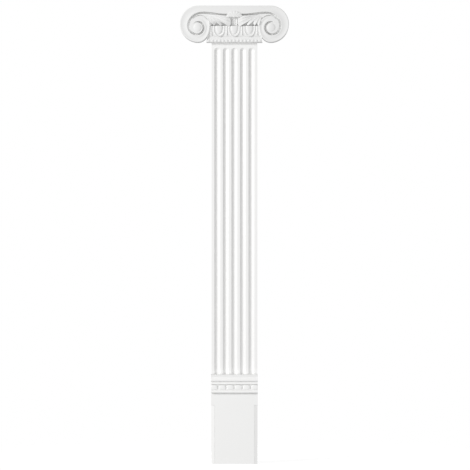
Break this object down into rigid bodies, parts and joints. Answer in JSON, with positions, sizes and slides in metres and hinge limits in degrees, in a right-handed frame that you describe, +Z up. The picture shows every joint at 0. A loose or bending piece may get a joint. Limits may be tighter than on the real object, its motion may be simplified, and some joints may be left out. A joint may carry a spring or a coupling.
{
  "type": "pilaster",
  "caption": "Flat fluted wall pilaster with a scrolled capital carved with leaves, eggs and darts, on a moulded pedestal base.",
  "frame": {"origin": "on the wall plane, at the middle of the flat back of the shaft", "axes": "+Z up along the shaft, +Y into the wall, +X to the right for someone who faces the pilaster"},
  "size_m": [0.656, 0.072, 2.7606],
  "materials": {
    "base_casting": "white primed hard foam casting, matt with a faint stipple",
    "shaft_casting": "white primed hard foam casting, matt and smooth along its length",
    "capital_casting": "white primed hard foam casting, matt, carved work slightly softened by the primer"
  },
  "bodies": {
    "root": {"base": "base_casting", "shaft": "shaft_casting", "capital": "capital_casting"}
  },
  "joints": []
}
